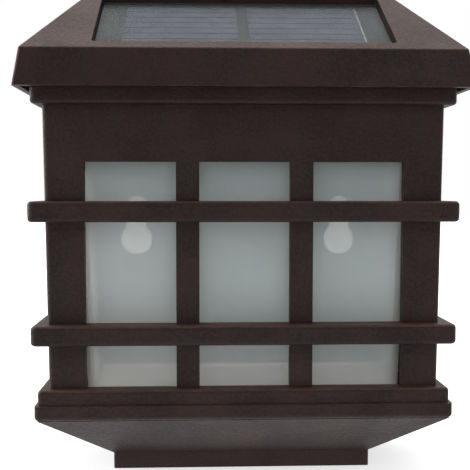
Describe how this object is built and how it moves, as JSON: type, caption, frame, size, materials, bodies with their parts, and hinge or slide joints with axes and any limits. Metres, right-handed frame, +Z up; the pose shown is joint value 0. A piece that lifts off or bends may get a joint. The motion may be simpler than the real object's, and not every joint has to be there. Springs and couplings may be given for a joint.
{
  "type": "fence light",
  "caption": "Solar lantern that hangs on a fence or wall by keyholes: dark moulded plastic body with a window grid, frosted cup inside, lean-to roof with a solar panel, tapered base.",
  "frame": {"origin": "on the wall plane, midway between the heads of the two keyholes", "axes": "+X to the right seen from the front, +Y out of the back into the wall, +Z up"},
  "size_m": [0.14, 0.0605, 0.1612],
  "materials": {
    "housing": "dark bronze moulded plastic with a fine spark-eroded grain",
    "frosted": "milky frosted plastic",
    "panel_board": "grey-green laminate",
    "cell": "blue-grey silicon",
    "ribbon": "tinned copper",
    "clear_cast": "clear cast resin",
    "sealant": "white sealant",
    "inner_plastic": "black moulded plastic",
    "gasket": "soft black rubber",
    "screw_steel": "zinc-plated steel",
    "battery_sleeve": "shrink sleeve",
    "contact_spring": "nickel-plated spring steel",
    "circuit": "green solder mask",
    "chip": "black epoxy",
    "led": "white case with yellow phosphor",
    "reflector_white": "glossy white",
    "switch_black": "black nylon",
    "slider_white": "white acetal",
    "lead_red": "red insulation",
    "lead_black": "black insulation"
  },
  "bodies": {
    "lantern": {"lantern_body": "housing", "diffuser": "frosted", "base_pan": "housing", "base_screws": "screw_steel"},
    "roof": {"roof_cap": "housing", "panel_seal": "sealant", "panel_board": "panel_board", "solar_cells": "cell", "cell_bus": "ribbon", "panel_cover": "clear_cast", "ceiling_plate": "inner_plastic", "roof_gasket": "gasket", "ceiling_screws": "screw_steel", "battery": "battery_sleeve", "battery_contacts": "contact_spring", "circuit_board": "circuit", "board_screws": "screw_steel", "board_parts": "chip", "led_board": "circuit", "leds": "led", "led_reflector": "reflector_white", "switch_body": "switch_black", "red_leads": "lead_red", "black_leads": "lead_black"},
    "door": {"battery_door": "inner_plastic"},
    "switch": {"switch_slider": "slider_white"}
  },
  "joints": [
    {"name": "roof_lift", "type": "slide", "parent": "lantern", "child": "roof", "axis": [0, 0, 1], "range_m": [0, 0.045]},
    {"name": "door_slide", "type": "slide", "parent": "roof", "child": "door", "axis": [1, 0, 0], "range_m": [0, 0.042]},
    {"name": "switch_slide", "type": "slide", "parent": "roof", "child": "switch", "axis": [1, 0, 0], "range_m": [0, 0.003]}
  ]
}
